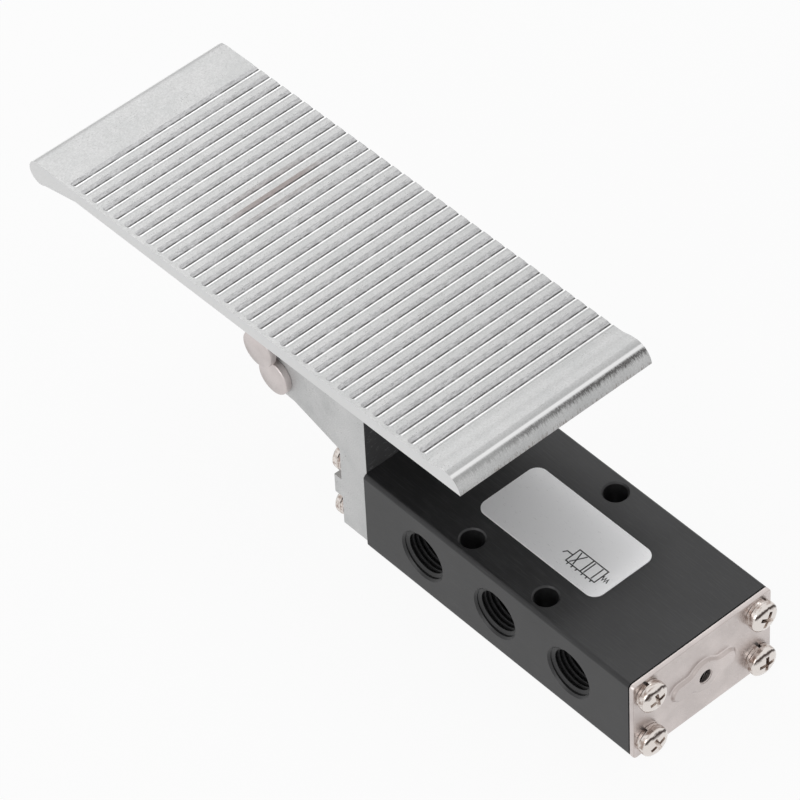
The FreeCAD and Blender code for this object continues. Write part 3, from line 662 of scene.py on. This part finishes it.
def screw_mesh(shank, name):
    """Pan-head screw with a tapered cross recess, its seat at zero and its head towards +X."""
    profile = [(-shank, 0.0), (-shank, 1.6), (-shank + 0.4, 1.95), (0.0, 1.95), (0.0, 3.85),
               (0.12, 4.0), (1.15, 4.0), (1.45, 3.92), (1.8, 3.66), (2.12, 3.2), (2.38, 2.6),
               (2.52, 1.9), (2.58, 1.0), (HEAD_HEIGHT, 0.0)]
    half, reach = RECESS_HALF, RECESS_REACH
    cross = [(half, half), (half, reach), (-half, reach), (-half, half), (-reach, half),
             (-reach, -half), (-half, -half), (-half, -reach), (half, -reach), (half, -half),
             (reach, -half), (reach, half)]
    cutter = prism_mesh(name + "_cross", cross, RECESS_FLOOR, 3.4, 0.55)
    return cut_mesh(turned_mesh(name, profile), [cutter])


def washer_mesh(name):
    """Split spring washer, its seat at zero, one end of the ring standing a little proud."""
    inner, outer, thick, broken = 2.1, 3.8, WASHER_THICKNESS, 0.12
    gap, rise, steps = 0.12, 0.06, 56
    section = [(0.0, inner), (0.0, outer - broken), (broken, outer), (thick - broken, outer),
               (thick, outer - broken), (thick, inner)]
    verts = []
    for step in range(steps + 1):
        share = step / steps
        angle = math.pi / 2 + gap + share * (2 * math.pi - 2 * gap)
        for along, radius in section:
            verts.append((along + rise * (share - 0.5), radius * math.cos(angle),
                          radius * math.sin(angle)))
    return closed_mesh(name, verts, swept_faces(steps, len(section)))


def make_fasteners(tree):
    """Screws and washers at the corners of the cover and of the bracket's flange."""
    across, up = SCREW_SPACING
    half_turn = Matrix.Rotation(math.pi, 4, "Z")
    for title, seat, outwards, shank, seed in (("end_plate", COVER_OUTSIDE, 1, 12.6, 3),
                                               ("bracket", FLANGE_BACK, -1, 20.5, 8)):
        screw = screw_mesh(shank, title + "_screw")
        washer = washer_mesh(title + "_washer")
        if outwards < 0:
            screw.transform(half_turn)
            washer.transform(half_turn)
        head_seat = seat + WASHER_THICKNESS * outwards
        pieces = []
        for name, mesh, place in ((title + "_split_washers", washer, seat),
                                  (title + "_pan_screws", screw, head_seat)):
            values = {"Spacing across": across * MM, "Spacing up": up * MM, "Seed": seed,
                      "Finish": finishes["nickel_screws"],
                      "Centre": Vector((place, 0, SPOOL_HEIGHT)) * MM}
            pieces.append(repeated(name, mesh, tree, values, "root"))
        washers, screws = pieces
        darken_recesses(screws, head_seat, outwards)
        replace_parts(washers, title + "_washers")
        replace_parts(screws, title + "_screws")


def darken_recesses(screws, seat, outwards):
    """Gives the faces sunk into each head the finish of painted shade."""
    mesh = screws.data
    mesh.materials.append(recess)
    for face in mesh.polygons:
        x, y, z = face.center / MM
        off_axis = math.hypot(abs(y) - SCREW_SPACING[0] / 2,
                              abs(z - SPOOL_HEIGHT) - SCREW_SPACING[1] / 2)
        depth = (x - seat) * outwards
        in_head = 0.5 < depth < HEAD_HEIGHT - 0.02 and off_axis < RECESS_REACH + 0.15
        leaning = abs(face.normal.x) < 0.6
        if in_head and (leaning or depth < RECESS_FLOOR + 0.3):
            face.material_index = 1


# Port threads

def thread_mesh(name):
    """One right-hand ridge winding into a port along positive Y from the port's mouth."""
    pitch, crest, foot, turns, per_turn = 1.337, 5.74, 6.6, 7.2, 40
    start, fade_steps, least_width = 0.7, 12.0, 0.25
    half_foot, half_crest = 0.44 * pitch, 0.08 * pitch
    count = int(turns * per_turn)
    verts = []
    for step in range(count + 1):
        angle = 2 * math.pi * step / per_turn
        fade = min(1.0, step / fade_steps, (count - step) / fade_steps)
        tip = foot - (foot - crest) * fade
        depth = start + pitch * step / per_turn
        for radius, shift in ((foot, -half_foot), (tip, -half_crest), (tip, half_crest),
                              (foot, half_foot)):
            verts.append((radius * math.cos(angle), depth + shift * max(fade, least_width),
                          radius * math.sin(angle)))
    return closed_mesh(name, verts, swept_faces(count, 4))


def make_threads(tree):
    """Threads of the three ports on the near side and the two on the far side."""
    for name, count, first, side in (("near_port_threads", 3, -PORT_PITCH, -1),
                                     ("far_port_threads", 2, -PORT_PITCH / 2, 1)):
        thread = thread_mesh(name + "_ridge")
        if side > 0:
            thread.transform(Matrix.Rotation(math.pi, 4, "Z"))
        values = {"Count": count, "Pitch": Vector((PORT_PITCH, 0, 0)) * MM,
                  "Start": Vector((first, side * HALF_WIDTH, SPOOL_HEIGHT)) * MM,
                  "Finish": finishes["black_anodised"]}
        repeated(name, thread, tree, values, "root")


# End cover

def emboss_height(y, z):
    """Height of the stamped shape over the cover's face, with soft shoulders."""
    from_middle = math.hypot(y, z) - EMBOSS_RADIUS
    from_arms = math.hypot(max(abs(y) - EMBOSS_ARM_REACH, 0.0), z) - EMBOSS_ARM_HALF
    blend = max(EMBOSS_BLEND - abs(from_middle - from_arms), 0.0) / EMBOSS_BLEND
    outside = min(from_middle, from_arms) - blend * blend * EMBOSS_BLEND / 4
    share = min(max(0.5 - outside / EMBOSS_SHOULDER, 0.0), 1.0)
    return EMBOSS_HEIGHT * share * share * (3 - 2 * share)


def over_corner(y, z):
    """How far a point of the cover lies beyond its corner's centre, each way."""
    return abs(y) - (HALF_WIDTH - COVER_CORNER), abs(z) - (BLOCK_HEIGHT / 2 - COVER_CORNER)


def pulled_in(y, z):
    """Point moved on to the rounded outline where the corner leaves it outside."""
    over_y, over_z = over_corner(y, z)
    if over_y > 0 and over_z > 0:
        away, most = math.hypot(over_y, over_z), max(over_y, over_z)
        y = math.copysign(HALF_WIDTH - COVER_CORNER + over_y * most / away, y)
        z = math.copysign(BLOCK_HEIGHT / 2 - COVER_CORNER + over_z * most / away, z)
    return y, z


def cover_height(y, z):
    """Outer face of the cover: domed edge and emboss."""
    over_y, over_z = over_corner(y, z)
    inside = min(HALF_WIDTH - abs(y), BLOCK_HEIGHT / 2 - abs(z))
    if over_y > 0 and over_z > 0:
        inside = COVER_CORNER - math.hypot(over_y, over_z)
    near = min(max(inside, 0.0) / COVER_EDGE, 1.0)
    return COVER_OUTSIDE - COVER_EDGE * (1 - math.sqrt(1 - (1 - near) ** 2)) + emboss_height(y, z)


def cover_cutters():
    """Vent, screw holes, and the hollow behind the emboss."""
    behind, before = 44, 50
    flare, sunk_to, sunk_radius = 0.2, COVER_INSIDE + 0.9, 3.9
    vent = turned_mesh("vent", [(behind, 0), (behind, VENT_RADIUS),
                                (COVER_OUTSIDE + 0.8, VENT_RADIUS),
                                (COVER_OUTSIDE + 1.0, VENT_RADIUS + flare),
                                (before, VENT_RADIUS + flare), (before, 0)], 40)
    cutters = [(vent, 0, 0)]
    for y in (-1, 1):
        for z in (-1, 1):
            hole = turned_mesh("hole", [(behind, 0), (behind, SCREW_HOLE_RADIUS),
                                        (before, SCREW_HOLE_RADIUS), (before, 0)], 28)
            cutters.append((hole, y * SCREW_SPACING[0] / 2, z * SCREW_SPACING[1] / 2))
    arms = [(7.4, -1.7), (8.9, -0.9), (8.9, 0.9), (7.4, 1.7), (-7.4, 1.7), (-8.9, 0.9),
            (-8.9, -0.9), (-7.4, -1.7)]
    cutters.append((prism_mesh("sunk_arms", arms, behind, sunk_to), 0, 0))
    cutters.append((turned_mesh("sunk_round", [(behind, 0), (behind, sunk_radius),
                                               (sunk_to, sunk_radius), (sunk_to, 0)], 40), 0, 0))
    for mesh, y, z in cutters:
        mesh.transform(Matrix.Translation((0, y * MM, (SPOOL_HEIGHT + z) * MM)))
    return [mesh for mesh, y, z in cutters]


def make_cover():
    """Stamped cover: domed edge, soft emboss, holes for the screws and the vent."""
    across, up = 220, 126
    verts, faces = [], []
    for outer in (False, True):
        for i in range(across + 1):
            for j in range(up + 1):
                y, z = pulled_in(-HALF_WIDTH + 2 * HALF_WIDTH * i / across,
                                 -BLOCK_HEIGHT / 2 + BLOCK_HEIGHT * j / up)
                verts.append((cover_height(y, z) if outer else COVER_INSIDE, y, z + SPOOL_HEIGHT))
    size = (across + 1) * (up + 1)
    for i in range(across):
        for j in range(up):
            a = i * (up + 1) + j
            b, c, d = a + up + 1, a + up + 2, a + 1
            faces += [(a, d, c, b), (a + size, b + size, c + size, d + size)]
    rim = list(range(up + 1))
    rim += [i * (up + 1) + up for i in range(1, across + 1)]
    rim += [across * (up + 1) + j for j in range(up - 1, -1, -1)]
    rim += [i * (up + 1) for i in range(across - 1, 0, -1)]
    for first, second in zip(rim, rim[1:] + rim[:1]):
        faces.append((first, second, second + size, first + size))
    made = cut_mesh(closed_mesh("stamped_cover", verts, faces), cover_cutters())
    smooth_by_angle(made, 40)
    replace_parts(dressed_piece("stamped_cover", made, "root", "nickel_plate"), "end_plate")


# Pins

def make_pin(name, spot, head_face, body, node):
    """Flat-headed pin with broken edges and a groove for its clip."""
    end, clip = head_face + PIN_HEAD_THICKNESS, head_face + 0.01
    shank, groove, rim = PIN_RADIUS, PIN_RADIUS - 0.6, PIN_HEAD_RADIUS
    profile = [(-end, 0.0), (-end, rim - 0.35), (-end + 0.12, rim - 0.12), (-end + 0.35, rim),
               (-head_face - 0.2, rim), (-head_face, rim - 0.2), (-head_face, shank),
               (clip, shank), (clip, groove), (clip + CLIP_WIDTH, groove),
               (clip + CLIP_WIDTH, shank), (end - 0.45, shank), (end, shank - 0.45), (end, 0.0)]
    mesh = turned_mesh(name, profile, 72)
    mesh.transform(Matrix.Translation(Vector(spot) * MM) @ Matrix.Rotation(math.pi / 2, 4, "Z"))
    smooth_by_angle(mesh)
    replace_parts(dressed_piece(name, mesh, body, "nickel_pins"), node)


# Return spring

def make_spring():
    """Coil of round wire that fills the length of the spring's part."""
    low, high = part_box("return_spring")
    wire, radius, turns, per_turn, around = 0.35, 2.8, 3.5, 32, 12
    start, end = low[0] / MM + wire, high[0] / MM - wire
    verts, steps = [], int(turns * per_turn)
    for step in range(steps + 1):
        angle = 2 * math.pi * step / per_turn
        along = start + (end - start) * step / steps
        for item in range(around):
            side = 2 * math.pi * item / around
            reach = radius + wire * math.cos(side)
            verts.append((along + wire * math.sin(side), reach * math.sin(angle),
                          SPOOL_HEIGHT + reach * math.cos(angle)))
    mesh = closed_mesh("return_spring_coil", verts, swept_faces(steps, around))
    smooth_by_angle(mesh)
    spring = dressed_piece("return_spring_coil", mesh, "root", "spring_steel")
    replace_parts(spring, "return_spring")
    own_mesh(spring)


# Pedal

def on_plate(x, y, z):
    """Point of the plate's tilted frame, whose origin is the pivot."""
    level, rise = math.cos(PEDAL_TILT), math.sin(PEDAL_TILT)
    return PIVOT[0] + x * level - z * rise, y, PIVOT[2] + x * rise + z * level


def lofted_mesh(name, rows):
    """Closed meshes, one from each row of sections with as many points each."""
    verts, faces = [], []
    for sections in rows:
        faces += swept_faces(len(sections) - 1, len(sections[0]), len(verts))
        for section in sections:
            verts += [on_plate(*point) for point in section]
    return closed_mesh(name, verts, faces)


def groove_end_sections(valley):
    """Sections that carry one groove on from its square end to a rounded one near the edge."""
    middle = valley + (GROOVE_WALL - GROOVE_SLOPE) / 2
    half = (GROOVE_WALL + GROOVE_SLOPE) / 2
    above, sunk = PLATE_TOP + 0.2, PLATE_TOP - 0.003
    overlap, round_length, steps = 0.3, 0.8, 8
    places = [(GROOVE_END + overlap, 1.0)]
    for step in range(steps + 1):
        share = 0.99 * step / steps
        places.append((NEAR_END + round_length * (1 - share), math.sqrt(1 - share * share)))
    sections = []
    for y, width in places:
        left, right = middle - half * width, middle + half * width
        deepest = (middle + (valley - middle) * width, y, sunk - GROOVE_DEPTH * width)
        sections.append([(left, y, above), (left, y, sunk), deepest, (right, y, sunk),
                         (right, y, above)])
    return sections


def make_pedal():
    """The pedal's solid with its grooves carried on close to the near edge, its shading kept."""
    work = bmesh.new()
    work.from_mesh(frame["nodes"]["pedal"].data)

    def ends(edge):
        return frozenset(tuple(round(c / MM, 3) for c in vert.co) for vert in edge.verts)

    hard = {ends(edge) for edge in work.edges if len(edge.link_faces) == 1}
    bmesh.ops.remove_doubles(work, verts=work.verts, dist=1e-7)
    for face in work.faces:
        face.smooth = True
    for edge in work.edges:
        edge.smooth = ends(edge) not in hard
    mesh = bpy.data.meshes.new("pedal_casting")
    work.to_mesh(mesh)
    work.free()
    grooves = [groove_end_sections(FIRST_GROOVE + GROOVE_PITCH * index)
               for index in range(GROOVE_COUNT)]
    made = cut_mesh(mesh, [lofted_mesh("groove_ends", grooves)])
    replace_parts(dressed_piece("pedal_casting", made, "pedal", "cast_pedal"), "pedal")


# Label

def strip(points, width, closed=False):
    """Flat raised line along points on the label, as verts and faces."""
    verts, faces = [], []
    count = len(points)
    base = LABEL_TOP - 0.01
    for index, (x, y) in enumerate(points):
        before = points[index - 1] if closed or index > 0 else None
        after = points[(index + 1) % count] if closed or index < count - 1 else None
        ways = []
        for start, end in ((before, (x, y)), ((x, y), after)):
            if start and end:
                length = math.hypot(end[0] - start[0], end[1] - start[1])
                ways.append(((end[0] - start[0]) / length, (end[1] - start[1]) / length))
        way = (sum(w[0] for w in ways), sum(w[1] for w in ways))
        length = math.hypot(*way)
        normal = (-way[1] / length, way[0] / length)
        reach = width / 2
        if len(ways) == 2:
            reach /= max(abs(normal[0] * -ways[0][1] + normal[1] * ways[0][0]), 0.5)
        for side in (-1, 1):
            for level in (base, base + LINE_HEIGHT):
                verts.append((x + normal[0] * reach * side, y + normal[1] * reach * side, level))
    for index in range(count if closed else count - 1):
        a, b = index * 4, (index + 1) % count * 4
        for first, second in ((0, 1), (1, 3), (3, 2), (2, 0)):
            faces.append((a + first, a + second, b + second, b + first))
    if not closed:
        last = (count - 1) * 4
        faces += [(0, 2, 3, 1), (last, last + 1, last + 3, last + 2)]
    return verts, faces


def label_piece(name, parts, material=None):
    """Piece of the label from parts of verts and faces each."""
    verts, faces = [], []
    for part_verts, part_faces in parts:
        shift = len(verts)
        verts += part_verts
        faces += [tuple(i + shift for i in face) for face in part_faces]
    return dressed_piece(name, closed_mesh(name, verts, faces), "root", "label_foil", material)


def label_outline(inset):
    """Rounded outline of the label, the given distance inside its edge."""
    long, wide, corner_steps = LABEL_HALF_LENGTH, LABEL_HALF_WIDTH, 12
    points = []
    for turn, (cx, cy) in enumerate(((1, 1), (-1, 1), (-1, -1), (1, -1))):
        for step in range(corner_steps + 1):
            angle = math.pi / 2 * (turn + step / corner_steps)
            reach = LABEL_CORNER - inset
            points.append((LABEL_CENTRE + cx * (long - LABEL_CORNER) + reach * math.cos(angle),
                           cy * (wide - LABEL_CORNER) + reach * math.sin(angle)))
    return points


def symbol_lines():
    """Plain line symbol of a valve with two positions, as points and whether they close."""
    left, low, box, tall = 7.6, -6.2, 4.8, 4.6
    port_line, margin, from_side = 0.7, 0.3, 0.84
    middle, high, right = low + tall / 2, low + tall, left + 2 * box
    lines = []
    for x in (left, left + box):
        lines.append((((x, low), (x + box, low), (x + box, high), (x, high)), True))
        for share in (0.2, 0.5, 0.8):
            lines.append((((x + box * share, low - port_line), (x + box * share, low)), False))
    for start, end in ((left + from_side, left + 2.9), (left + 2.1, left + 1.0),
                       (left + box + from_side, left + box + from_side),
                       (left + box + 3.36, left + box + 3.36)):
        lines.append((((start, low + margin), (end, high - margin)), False))
    zigzag = [(right + 0.35 * k, middle + (0.6 if k % 2 else -0.6)) for k in range(1, 7)]
    lines.append(([(right, middle)] + zigzag, False))
    lines.append((((left, middle), (left - 1.8, middle), (left - 2.4, middle - 1.0)), False))
    return lines


def make_label():
    """Foil with a broken edge and a bright rim, and a symbol in thin lines."""
    broken, rim_inset, rim_width, line_width = 0.05, 0.35, 0.22, 0.33
    verts, faces = [], []
    for inset, level in ((0.0, BLOCK_HEIGHT), (0.0, LABEL_TOP - broken), (broken, LABEL_TOP)):
        verts += [(x, y, level) for x, y in label_outline(inset)]
    count = len(verts) // 3
    for ring in (0, count):
        for i in range(count):
            following = (i + 1) % count
            faces.append((ring + i, ring + following, ring + count + following, ring + count + i))
    faces += [tuple(range(count)), tuple(range(2 * count, 3 * count))]
    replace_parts(label_piece("label_plate", [(verts, faces)]), "name_label")
    label_piece("label_rim", [strip(label_outline(rim_inset), rim_width, True)])
    label_piece("label_symbol", [strip(points, line_width, closed)
                                 for points, closed in symbol_lines()], ink)


four_corners, row = corners_tree(), row_tree()
make_fasteners(four_corners)
make_threads(row)
make_cover()
make_pin("pivot_pin_turned", PIVOT, 18.6, "root", "pivot_pin")
make_pin("stop_pin_turned", STOP, 20.9, "pedal", "stop_pin")
make_spring()
make_pedal()
make_label()


# Studio

def camera_turn(azimuth, elevation, roll):
    """Turn of a camera that looks back from the given degrees."""
    a, e, r = (math.radians(v) for v in (azimuth, elevation, roll))
    back = Vector((math.sin(a) * math.cos(e), -math.cos(a) * math.cos(e), math.sin(e)))
    right = Vector((math.cos(a), math.sin(a), 0.0))
    up = back.cross(right)
    across = math.cos(r) * right + math.sin(r) * up
    over = -math.sin(r) * right + math.cos(r) * up
    return Matrix((across, over, back)).transposed()


def make_camera():
    """The photograph's camera, solved from the block's edges and holes."""
    turn = camera_turn(AZIMUTH, ELEVATION, ROLL)
    offset = Vector(((IMAGE_SIZE / 2 - CENTRE[0]) / FOCAL * DISTANCE,
                     (CENTRE[1] - IMAGE_SIZE / 2) / FOCAL * DISTANCE, DISTANCE))
    spot = (turn @ offset - Vector((HALF_LENGTH, 0, 0))) * MM
    data = bpy.data.cameras.new("camera")
    data.sensor_width = SENSOR_WIDTH
    data.lens = FOCAL / IMAGE_SIZE * SENSOR_WIDTH
    data.clip_start, data.clip_end = 0.05, 20.0
    camera = bpy.data.objects.new("camera", data)
    scene.collection.objects.link(camera)
    camera.matrix_world = Matrix.Translation(spot) @ turn.to_4x4()
    scene.camera = camera


def seen_or_reflected(tree):
    """One for camera, glossy and transmission rays."""
    path = tree.nodes.new("ShaderNodeLightPath")
    total = None
    for title in ("Is Camera Ray", "Is Glossy Ray", "Is Transmission Ray"):
        if total is None:
            total = path.outputs[title]
            continue
        node = tree.nodes.new("ShaderNodeMath")
        node.operation = "MAXIMUM"
        tree.links.new(total, node.inputs[0])
        tree.links.new(path.outputs[title], node.inputs[1])
        total = node.outputs[0]
    return total


def make_world():
    """Grey light all round that shows as white."""
    light, shown = 0.5, 1.0
    world = bpy.data.worlds.new("studio")
    world.use_nodes = True
    scene.world = world
    tree = world.node_tree
    background = tree.nodes["Background"]
    mix = tree.nodes.new("ShaderNodeMix")
    mix.data_type = "RGBA"
    mix.inputs[6].default_value = (light, light, light, 1.0)
    mix.inputs[7].default_value = (shown, shown, shown, 1.0)
    tree.links.new(seen_or_reflected(tree), mix.inputs["Factor"])
    tree.links.new(mix.outputs[2], background.inputs["Color"])
    background.inputs["Strength"].default_value = 1.0


def make_floor():
    """White floor that almost glows, so that only soft shadows show on it."""
    half, drop, glowing = 1.5, 0.0002, 0.93
    mesh = bpy.data.meshes.new("floor")
    mesh.from_pydata([(-half, -half, -drop), (half, -half, -drop), (half, half, -drop),
                      (-half, half, -drop)], [], [(0, 1, 2, 3)])
    floor = bpy.data.objects.new("floor", mesh)
    scene.collection.objects.link(floor)
    material = bpy.data.materials.new("floor")
    material.use_nodes = True
    tree = material.node_tree
    shader = tree.nodes["Principled BSDF"]
    shader.inputs["Base Color"].default_value = (0.82, 0.82, 0.82, 1.0)
    shader.inputs["Roughness"].default_value = 0.9
    shader.inputs["Specular IOR Level"].default_value = 0.0
    glow = tree.nodes.new("ShaderNodeEmission")
    mix = tree.nodes.new("ShaderNodeMixShader")
    share = tree.nodes.new("ShaderNodeMath")
    share.operation = "MULTIPLY"
    share.inputs[1].default_value = glowing
    tree.links.new(seen_or_reflected(tree), share.inputs[0])
    tree.links.new(share.outputs[0], mix.inputs["Fac"])
    tree.links.new(shader.outputs[0], mix.inputs[1])
    tree.links.new(glow.outputs[0], mix.inputs[2])
    tree.links.new(mix.outputs[0], tree.nodes["Material Output"].inputs["Surface"])
    mesh.materials.append(material)


def make_lamp(name, spot, size, power):
    """Area lamp that faces the part's middle."""
    aim = Vector((-0.05, 0, 0.02))
    data = bpy.data.lights.new(name, "AREA")
    data.shape = "RECTANGLE"
    data.size, data.size_y = size
    data.energy = power
    lamp = bpy.data.objects.new(name, data)
    scene.collection.objects.link(lamp)
    lamp.location = spot
    lamp.rotation_euler = (aim - Vector(spot)).to_track_quat("-Z", "Y").to_euler()


make_camera()
make_world()
make_floor()
make_lamp("overhead", (-0.85, 0.3, 0.85), (0.7, 0.7), 3.1)
make_lamp("front", (0.2, -1.0, 0.5), (0.8, 0.5), 2.5)
scene.view_settings.view_transform = "Standard"
